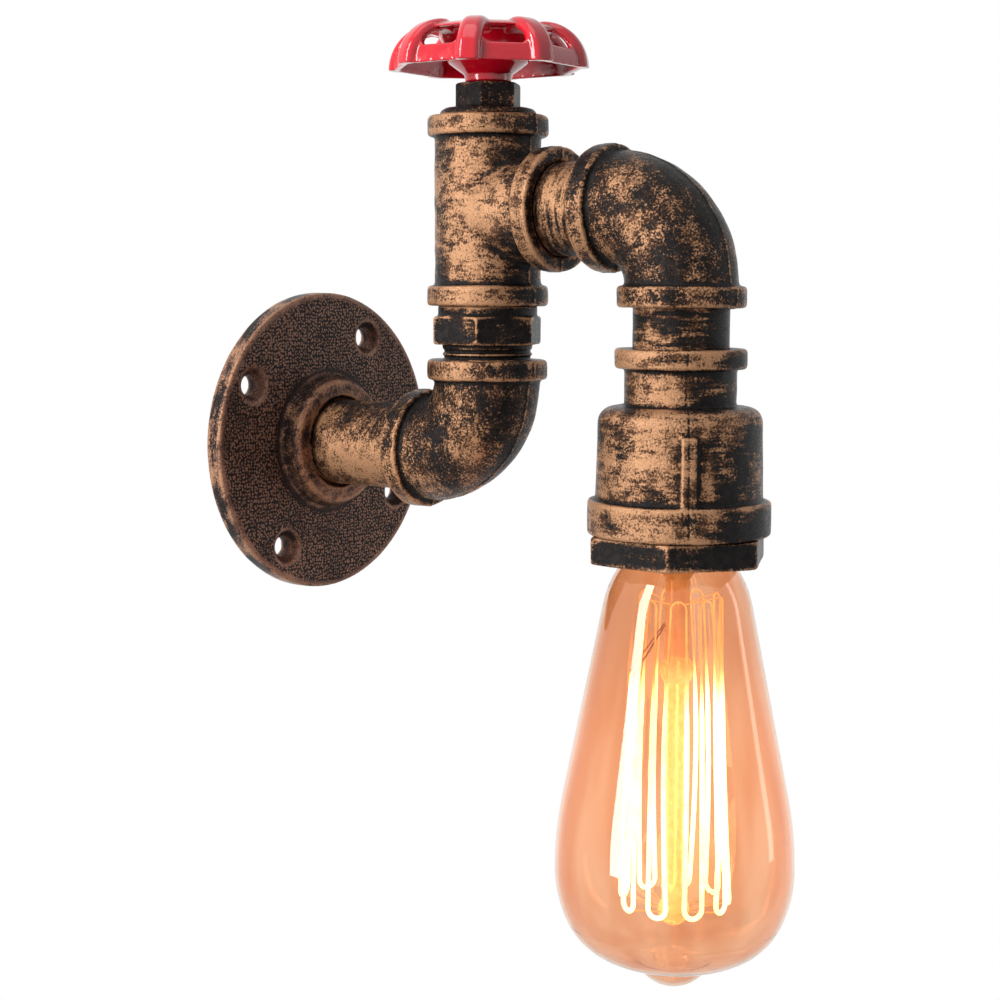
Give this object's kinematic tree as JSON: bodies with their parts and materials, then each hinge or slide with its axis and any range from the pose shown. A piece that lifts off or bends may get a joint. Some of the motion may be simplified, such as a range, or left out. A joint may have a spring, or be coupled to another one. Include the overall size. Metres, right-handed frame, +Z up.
{
  "type": "industrial pipe wall light",
  "caption": "Wall light of aged iron pipe fittings with a round flange, a tee carrying a red valve handwheel, and a downward bell socket holding an amber filament bulb.",
  "frame": {"origin": "centre of the flange's back face, on the wall plane", "axes": "+Y into the wall, -Y out into the room, +Z up, +X to the right when facing the wall"},
  "size_m": [0.094, 0.1743, 0.2741],
  "materials": {
    "aged_cast_iron": "near-black paint on rough castings, rubbed with copper on edges and high spots",
    "aged_pipe": "near-black paint on steel pipe and threads, rubbed with copper on the edges",
    "red_enamel": "thick glossy red enamel on a cast wheel",
    "plated_steel": "zinc-plated steel",
    "packing": "black packing ring",
    "porcelain": null,
    "brass": "rolled brass",
    "solder": "tinned solder button",
    "black_glass": null,
    "amber_glass": "clear amber-tinted blown glass",
    "clear_glass": "clear glass rod with bead and button",
    "filament": "carbon filament glowing warm white",
    "support_wire": "thin drawn support wire",
    "brown_insulation": "heat-proof silicone insulation",
    "blue_insulation": "heat-proof silicone insulation"
  },
  "bodies": {
    "pipework": {"wall_flange": "aged_cast_iron", "wall_nipple": "aged_pipe", "lower_elbow": "aged_cast_iron", "riser_hex_nipple": "aged_pipe", "tee": "aged_cast_iron", "branch_nipple": "aged_pipe", "upper_elbow": "aged_cast_iron", "drop_nipple": "aged_pipe", "reducing_socket": "aged_cast_iron", "hex_bushing": "aged_cast_iron", "valve_bonnet": "aged_pipe", "packing_ring": "packing", "lampholder_body": "porcelain", "lampholder_shell": "brass", "lampholder_contact": "brass", "live_terminal": "brass", "neutral_terminal": "brass", "terminal_screws": "plated_steel", "live_lead": "brown_insulation", "neutral_lead": "blue_insulation"},
    "wheel": {"handwheel": "red_enamel", "valve_stem": "plated_steel", "wheel_washer": "plated_steel", "wheel_nut": "plated_steel"},
    "bulb": {"bulb_glass": "amber_glass", "bulb_cap": "brass", "bulb_cap_insulator": "black_glass", "bulb_cap_contact": "solder", "bulb_mount": "clear_glass", "bulb_filament": "filament", "bulb_upper_hooks": "support_wire", "bulb_lower_hooks": "support_wire", "bulb_lead_wires": "support_wire"}
  },
  "joints": [
    {"name": "handwheel_turn", "type": "hinge", "parent": "pipework", "child": "wheel", "pos_m": [0, -0.0718, 0.112], "axis": [0, 0, 1], "continuous": true},
    {"name": "bulb_unscrew", "type": "slide", "parent": "pipework", "child": "bulb", "axis": [0, 0, -1], "range_m": [0, 0.036]}
  ]
}
